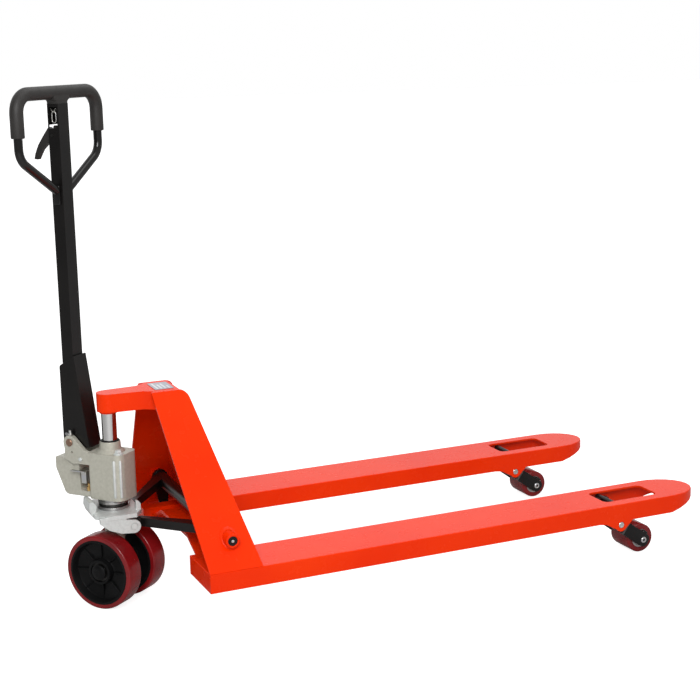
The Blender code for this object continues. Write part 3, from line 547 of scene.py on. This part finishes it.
# %% Ram, wiper and thrust bearing
ram = lathe([(0, 0.285), (0.0165, 0.285), (0.0175, 0.286), (0.0175, 0.4897), (0, 0.4897)], 96)
piece("ram_chromed", ram, chrome, "frame", ("ram",))
wiper = lathe([(0.0178, 0.3953), (0.0225, 0.3953), (0.0222, 0.3968), (0.0205, 0.3975), (0.0178, 0.3970)],
              64)
piece("wiper_lip", wiper, seal_rubber, "pump", ("wiper_ring",), STEERED)
upper = lathe([(0.0238, 0.246), (0.0355, 0.246), (0.0360, 0.2465), (0.0360, 0.2515), (0.0355, 0.252),
               (0.034, 0.252), (0.034, 0.2577), (0.0238, 0.2577)], 72)
piece("bearing_upper_race_ground", upper, steel, "pump", ("bearing_upper_race",), STEERED)
lower = lathe([(0.0241, 0.2323), (0.0375, 0.2323), (0.0380, 0.2328), (0.0380, 0.2385), (0.0375, 0.239),
               (0.0241, 0.239)], 72)
piece("bearing_lower_race_ground", lower, steel, "thrust", ("bearing_lower_race",))
cage = lathe([(0.026, 0.2393), (0.0345, 0.2393), (0.0345, 0.2457), (0.026, 0.2457)], 72)
# The cage is painted dark steel: a painted shade for the groove between the bright races.
piece("bearing_cage_turned", cage, painted_shade_steel, "pump", ("bearing_cage",), STEERED)

# %% [markdown]
# ### Fittings on the pump
# The casting's front corner carries two upright half-round ribs that stiffen the oil tank, and a
# hexagon plug on a round washer closes the filler. Each is a lathe shape: a plug is simply a
# profile that is spun in six steps.

# %% Ribs, plug and bolt heads
TANK_CORNER = (0.032, -0.018)
TANK_CORNER_R, RIB_FOOT_Z = 0.0195, 0.2660
for index, angle in enumerate((-82, -38)):
    rib = lathe([(0, 0), (0.0022, 0.0006), (0.0036, 0.0030), (0.0036, 0.0890), (0.0022, 0.0914),
                 (0, 0.0920)], 24)
    place = Vector((TANK_CORNER[0] + TANK_CORNER_R * math.cos(math.radians(angle)),
                    TANK_CORNER[1] + TANK_CORNER_R * math.sin(math.radians(angle)), RIB_FOOT_Z))
    bmesh.ops.translate(rib, verts=rib.verts, vec=place)
    # The ribs take the paler silver, a painted highlight for the bright lines along the casting's corner.
    piece(f"tank_rib_{index}", rib, pale_silver, "pump", (), STEERED)

PLUG = (0.0385, -0.023, 0)
washer = lathe([(0, 0.3701), (0.0112, 0.3701), (0.0112, 0.3722), (0.0104, 0.3730), (0, 0.3730)],
               32, Matrix(), PLUG)
piece("filler_washer", washer, pale_silver, "pump", (), STEERED)
plug = lathe([(0, 0.3731), (0.0086, 0.3731), (0.0088, 0.3790), (0.0072, 0.3808), (0, 0.3810)],
             6, Matrix(), PLUG)
piece("filler_plug_hexagon", plug, pale_silver, "pump", ("filler_plug",), STEERED)
for side, sign in SIDES:
    nut = lathe([(0, 0.0379), (0.0052, 0.0379), (0.0054, 0.0405), (0.0040, 0.0416), (0, 0.0418)], 6, TO_Y,
                (-0.060, 0, 0.352))
    piece(f"ear_bolt_{side}", on_side(nut, sign), pale_silver, "pump", (), STEERED)

# %% [markdown]
# ### The plunger's spring
# A coil is one small circle that spin carries round the plunger and, through dvec, upwards at the
# same time. The handle presses the real spring flat as the plunger moves, but this coil keeps one shape, on a
# mesh of its own.

# %% Coil spring
PLUNGER_X = -0.111
SPRING_SEAT_Z = 0.3503
COIL_R, WIRE_R, COIL_RISE = 0.0087, 0.0011, 0.0355
TURNS, COIL_STEPS = 5, 140
coil = bmesh.new()
start = Matrix.Translation((PLUNGER_X + COIL_R, 0, SPRING_SEAT_Z + WIRE_R + 0.0002))
start = start @ Matrix.Rotation(math.pi / 2, 4, "X")
bmesh.ops.create_circle(coil, cap_ends=False, radius=WIRE_R, segments=10, matrix=start)
bmesh.ops.spin(coil, geom=coil.verts[:] + coil.edges[:], cent=(PLUNGER_X, 0, 0), axis=(0, 0, 1),
               dvec=(0, 0, COIL_RISE / COIL_STEPS), angle=math.tau * TURNS, steps=COIL_STEPS)
bmesh.ops.holes_fill(coil, edges=[edge for edge in coil.edges if edge.is_boundary], sides=0)
spring = piece("plunger_spring_coil", coil, zinc, "pump", ("plunger_spring",), STEERED)
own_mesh(spring)

# %% [markdown]
# ## Bent tubes
# The handle's loop is one steel tube, bent four times, with a foam-textured grip moulded over its
# top. A tube grows as it would on a bending bench: a circle is extruded along each straight run,
# then carried round the bend in small turns.

# %% Bend a tube from corner to corner
def bent_tube(corners, bends, radius, segments=32, closed=False):
    """A round bar through corners in one plane, bent to a radius at each one but the ends."""
    points = [Vector(corner) for corner in corners]
    shape = bmesh.new()
    here = points[0]
    heading = (points[1] - here).normalized()
    facing = Vector((0, 0, 1)).rotation_difference(heading).to_matrix().to_4x4()
    bmesh.ops.create_circle(shape, cap_ends=False, radius=radius, segments=segments,
                            matrix=Matrix.Translation(here) @ facing)
    ring = shape.edges[:]

    def grow(edges):
        grown = bmesh.ops.extrude_edge_only(shape, edges=edges)["geom"]
        verts = [item for item in grown if isinstance(item, bmesh.types.BMVert)]
        return verts, [item for item in grown if isinstance(item, bmesh.types.BMEdge) and item.is_boundary]

    for corner, after, bend in zip(points[1:], points[2:], bends):
        heading = (corner - here).normalized()
        onward = (after - corner).normalized()
        angle = heading.angle(onward)
        reach = bend * math.tan(angle / 2)
        verts, ring = grow(ring)
        bmesh.ops.translate(shape, verts=verts, vec=corner - heading * reach - here)
        inward = (onward - heading * onward.dot(heading)).normalized()
        centre = corner - heading * reach + inward * bend
        steps = max(3, round(math.degrees(angle) / 7))
        turn = Matrix.Rotation(angle / steps, 3, heading.cross(onward))
        for _ in range(steps):
            verts, ring = grow(ring)
            bmesh.ops.rotate(shape, verts=verts, cent=centre, matrix=turn)
        here = corner + onward * reach
    verts, ring = grow(ring)
    bmesh.ops.translate(shape, verts=verts, vec=points[-1] - here)
    if closed:
        bmesh.ops.remove_doubles(shape, verts=shape.verts, dist=1e-5)
    else:
        bmesh.ops.holes_fill(shape, edges=[edge for edge in shape.edges if edge.is_boundary], sides=0)
    return shape


# %% [markdown]
# The loop's two lower ends are pressed flat and welded to the mast's sides; here the flat ends are small
# rounded blocks, and the weld is not drawn. The grip ends in a soft lip round the tube.

# %% Loop, grips and tee
HANDLE_X = -0.0945
LOOP_HALF_WIDTH = 0.148
CROSSBAR_Z = 1.209
GRIP_END_Z = 1.113
TUBE_R, GRIP_R = 0.010, 0.0155
half = [(0.0215, 0.9853), (LOOP_HALF_WIDTH, 1.065), (LOOP_HALF_WIDTH, CROSSBAR_Z)]
corners = [(HANDLE_X, y, z) for y, z in half] + [(HANDLE_X, -y, z) for y, z in reversed(half)]
loop = bent_tube(corners, (0.045, 0.042, 0.042, 0.045), TUBE_R)
piece("handle_loop_tube", loop, gloss_black, "handle", ("handle_loop",), STEERED)

half = [(LOOP_HALF_WIDTH, GRIP_END_Z), (LOOP_HALF_WIDTH, CROSSBAR_Z)]
corners = [(HANDLE_X, y, z) for y, z in half] + [(HANDLE_X, -y, z) for y, z in reversed(half)]
grip = bent_tube(corners, (0.042, 0.042), GRIP_R, 40)
round_edges(grip, 0.0025, 3, 60)
piece("handle_grip_moulded", grip, black_plastic, "handle", ("handle_grip",), STEERED)

MAST_HALF, TEE_FILLET, TEE_HALF = 0.0195, 0.009, 0.014
under = CROSSBAR_Z - GRIP_R
fillet = [(MAST_HALF + TEE_FILLET * (1 - math.cos(a)), under - TEE_FILLET * (1 - math.sin(a)))
          for a in (math.radians(15 * step) for step in range(7))]
outline = [(MAST_HALF, 1.1835), *fillet, (MAST_HALF + TEE_FILLET, CROSSBAR_Z)]
outline += [(-y, z) for y, z in reversed(outline)]
tee = bmesh.new()
face = tee.faces.new([tee.verts.new((HANDLE_X - TEE_HALF, y, z)) for y, z in outline])
grown = bmesh.ops.extrude_face_region(tee, geom=[face])["geom"]
front = [item for item in grown if isinstance(item, bmesh.types.BMVert)]
bmesh.ops.translate(tee, verts=front, vec=(2 * TEE_HALF, 0, 0))
round_edges(tee, 0.0022, 3, 60, lambda edge: edge.calc_length() > 0.015
            or abs(edge.verts[0].co.z - under) > 1e-3)
piece("handle_tee", tee, black_plastic, "handle", (), STEERED)

for side, sign in SIDES:
    foot = box_shape((-0.1035, 0.0193, 0.9530), (-0.0855, 0.0240, 0.9980))
    round_edges(foot, 0.0022, 3)
    piece(f"loop_foot_{side}", on_side(foot, sign), gloss_black, "handle", (), STEERED)

# %% [markdown]
# Behind the slot in its side, the mast is closed by a back plate. The release rod ends there in an
# oval wire link, which hangs from a folded clip: two thin strips that lean apart in a V.

# %% Back plate, oval link and clip
back = box_shape((-0.1098, -0.0162, 1.1360), (-0.1074, 0.0162, 1.1838))
round_edges(back, 0.0006, 2)
piece("mast_back_plate", back, black_paint, "handle", (), STEERED)
LINK = Vector((-0.0965, -0.0125, 0))
link_half, link_low, link_high = 0.0055, 1.1405, 1.1655
corners = [(-link_half, 0, 1.153), (-link_half, 0, link_high), (link_half, 0, link_high),
           (link_half, 0, link_low), (-link_half, 0, link_low), (-link_half, 0, 1.153)]
link = bent_tube([LINK + Vector(corner) for corner in corners], (0.0053,) * 4, 0.0015, 12, closed=True)
piece("oval_link", link, zinc, "release_rod", (), STEERED)
for index, lean in enumerate((-38, 38)):
    strip = box_shape((-0.0008, -0.0030, 0), (0.0008, 0.0030, 0.0120))
    round_edges(strip, 0.0003, 2)
    place = Matrix.Translation(LINK + Vector((0, 0, 1.1640))) @ Matrix.Rotation(math.radians(lean), 4, "Y")
    bmesh.ops.transform(strip, matrix=place, verts=strip.verts)
    piece(f"clip_strip_{index}", strip, zinc, "handle", (), STEERED)

# %% [markdown]
# ## Small things on the frame
# A weld bead runs round each pivot boss where it comes through the sloping panel. The bead is
# turned flat, then sheared so that it follows the slope. A grease nipple sits in each shaft end.

# %% Boss welds and grease nipples
ROCKER_AXIS = Vector((0.188, 0, 0.212))
PANEL_SLOPE = (0.3425 - 0.058) / (0.512 - FORK_TOP)
PANEL_Y = 0.3425 - PANEL_SLOPE * (ROCKER_AXIS.z - FORK_TOP)

for side, sign in SIDES:
    bead = lathe([(0.0168, -0.002), (0.0225, -0.002), (0.0222, 0.0012), (0.0205, 0.0030), (0.0186, 0.0040),
                  (0.0168, 0.0050)], 64, TO_Y)
    for vert in bead.verts:
        vert.co.y += PANEL_Y - PANEL_SLOPE * vert.co.z
    bmesh.ops.translate(bead, verts=bead.verts, vec=ROCKER_AXIS)
    nipple = lathe([(0, 0.3190), (0.0034, 0.3190), (0.0034, 0.3202), (0.0020, 0.3206), (0.0020, 0.3222),
                    (0.0012, 0.3230), (0, 0.3232)], 20, TO_Y, ROCKER_AXIS)
    piece(f"boss_weld_{side}", on_side(bead, sign), orange_paint, "frame")
    piece(f"grease_nipple_{side}", on_side(nipple, sign), zinc, "frame")

# %% [markdown]
# The label is a blank film: a few light bars stand where a real one would be printed.

# %% Bars on the label
LABEL_NEAR_X, BAR_LEFT_Y, BAR_FOOT_Z, BAR_TOP_Z = 0.112, -0.030, 0.51318, 0.51332
for index, high_y in enumerate((0.028, 0.012, 0.020, -0.004)):
    near_x = LABEL_NEAR_X + 0.0095 * index
    bar = box_shape((near_x, BAR_LEFT_Y, BAR_FOOT_Z), (near_x + 0.0050, high_y, BAR_TOP_Z))
    piece(f"label_bar_{index}", bar, label_light, "frame")

# %% [markdown]
# Each wheel fork's cheeks are pressings: a flange is folded outwards below the pivot, where the
# paint has worn to a satin grey, a second plate doubles the cheek, and a stop stands by the axle.

# %% Flanges and stops on the wheel forks
ARM = Vector((ROLLER_AXLE[0] - WHEEL_FORK_AXIS[0], 0, ROLLER_AXLE[2] - WHEEL_FORK_AXIS[2]))
ARM_TURN = Matrix.Rotation(math.atan2(-ARM.z, ARM.x), 4, "Y")
for side, sign in SIDES:
    for cheek in (1, -1):
        flange = box_shape((0.0230, 0.0495, -0.0170), (0.0290, 0.0650, 0.0170))
        round_edges(flange, 0.0012, 3)
        doubler = box_shape((0.0285, 0.0498, -0.0168), (0.1160, 0.0562, 0.0168))
        round_edges(doubler, 0.0130, 5, 60, lambda edge: min(vert.co.x for vert in edge.verts) > 0.100
                    and abs(edge.verts[0].co.y - edge.verts[1].co.y) > 0.001)
        round_edges(doubler, 0.0010, 2, 60)
        stop = box_shape((0.0860, 0.0450, 0.0120), (0.1010, 0.0560, 0.0225))
        round_edges(stop, 0.0030, 3)
        for name, shape, material in (("flange", flange, worn_black), ("doubler", doubler, black_paint),
                                      ("stop", stop, black_paint)):
            place = Matrix.Translation(Vector(WHEEL_FORK_AXIS) + Vector((0, sign * FORK_Y, 0))) @ ARM_TURN
            bmesh.ops.scale(shape, vec=(1, cheek, 1), verts=shape.verts)
            bmesh.ops.transform(shape, matrix=place, verts=shape.verts)
            ends = "outer" if cheek == sign else "inner"
            piece(f"wheel_fork_{name}_{side}_{ends}", shape, material, f"wheel_fork_{side}")

# %% [markdown]
# ## Everything else keeps its CAD shape
# Small fittings are already right. They only need their finish, so their material slots are
# filled with the same finishes.

# %% Paint the small fittings
KEPT = {"data_plate": label_film, "rocker_shaft": black_paint, "rod_pin_left": zinc, "rod_pin_right": zinc,
        "lift_pin_left": pale_silver, "lift_pin_right": pale_silver, "adjusting_screw": zinc,
        "lowering_valve": brass, "steer_axle": steel, "handle_pin": bronzed_steel, "pump_plunger": steel,
        "pressure_roller": steel, "lever_pin": painted_shade_steel, "release_rod": zinc}
for node, material in KEPT.items():
    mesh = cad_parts[node].data
    mesh.materials.clear()
    mesh.materials.append(material)

# %% [markdown]
# ## Floor, light and camera
# The floor and the room are plain white to the eye, so the truck stands free of any background.
# What lights the truck is dimmer than that: a soft grey room with a white back wall, which pales
# the decks, and a dark curtain on the handle side, which gives chrome and black paint something
# dark to reflect. Two large lamps do the rest.

# %% Floor
floor = bmesh.new()
bmesh.ops.create_grid(floor, x_segments=1, y_segments=1, size=30)
floor_mesh = bpy.data.meshes.new("floor")
floor.to_mesh(floor_mesh)
floor.free()


def seen_directly(field):
    """1 where the eye looks straight at it, and 0 for the light that it throws on other things."""
    return field.node("ShaderNodeLightPath", {}, {})


def floor_recipe(place):
    glow = colours(seen_directly(place), (0, 0, 0), (1, 1, 1), 0, 1)
    return {"Base Color": colours(noise(place, 0.4, 2.0), (0.52, 0.52, 0.52), (0.56, 0.56, 0.56)),
            "Roughness": 0.60 + 0.1 * noise(place, 3.0, 2.0), "Emission Color": glow}


floor_mesh.materials.append(finish("pale_floor", floor_recipe, Emission_Strength=0.85))
floor_object = bpy.data.objects.new("floor", floor_mesh)
floor_object.location.z = -0.0005
bpy.context.collection.objects.link(floor_object)

# %% [markdown]
# The room is a function of direction. Separate XYZ says how far east or north a ray points, and a
# ramp turns that into grey or white. The eye's own rays always see white.

# %% A white room with one dark side
world = bpy.data.worlds.new("studio")
bpy.context.scene.world = world
world.use_nodes = True
background = world.node_tree.nodes["Background"]
direction = Field(world.node_tree, world.node_tree.nodes.new("ShaderNodeTexCoord").outputs["Generated"])
east = direction.node("ShaderNodeSeparateXYZ", {}, {"Vector": direction}, 0)
north = direction.node("ShaderNodeSeparateXYZ", {}, {"Vector": direction}, 1)
room = colours(0.5 * east + 0.5, (0.10, 0.10, 0.10), (0.60, 0.60, 0.60), 0.05, 0.22)
back_wall = colours(0.5 * north + 0.5, (0, 0, 0), (1, 1, 1), 0.68, 0.84)


def whiten(colour, amount):
    """That colour, mixed with white."""
    return colour.node("ShaderNodeMix", {"data_type": "RGBA"}, {0: amount, 6: colour, 7: (1, 1, 1, 1)}, 2)


sky = whiten(whiten(room, back_wall), seen_directly(direction))
world.node_tree.links.new(sky.socket, background.inputs["Color"])
background.inputs["Strength"].default_value = 1.0


def softbox(name, place, target, size, power):
    """A large square lamp that faces a point."""
    lamp = bpy.data.lights.new(name, "AREA")
    lamp.size = size
    lamp.energy = power
    made = bpy.data.objects.new(name, lamp)
    made.location = place
    made.rotation_euler = (Vector(target) - Vector(place)).to_track_quat("-Z", "Y").to_euler()
    bpy.context.collection.objects.link(made)


# %% [markdown]
# The key lamp stands beside the camera, and a weaker one hangs over the forks.

# %% Two lamps
softbox("key", (-1.6, -3.0, 2.4), (0, 0, 0.3), 1.6, 95)
softbox("top", (0.8, 0.4, 3.4), (0, 0, 0.2), 2.4, 30)

# %% [markdown]
# The camera stands at the left front of the truck, a little above the handle's middle, with a
# long lens. It leans by about a degree, as a hand-held camera does.

# %% Camera
CAMERA_PLACE = Vector((-0.8376, -3.3691, 1.3194))
AZIMUTH, ELEVATION, ROLL = (math.radians(angle) for angle in (24.597, 11.282, -1.078))
ahead = Vector((math.sin(AZIMUTH) * math.cos(ELEVATION), math.cos(AZIMUTH) * math.cos(ELEVATION),
                -math.sin(ELEVATION)))
right = Vector((math.cos(AZIMUTH), -math.sin(AZIMUTH), 0))
up = right.cross(ahead)
right, up = right * math.cos(ROLL) + up * math.sin(ROLL), up * math.cos(ROLL) - right * math.sin(ROLL)
lens = bpy.data.cameras.new("camera")
lens.sensor_width = 36
lens.lens = 76.63
lens.shift_x = -0.0410
lens.shift_y = -0.0225
camera = bpy.data.objects.new("camera", lens)
facing = Matrix((right, up, -ahead)).transposed().to_4x4()
camera.matrix_world = TRUCK @ Matrix.Translation(CAMERA_PLACE) @ facing
bpy.context.collection.objects.link(camera)
bpy.context.scene.camera = camera
bpy.context.scene.view_settings.view_transform = "Standard"
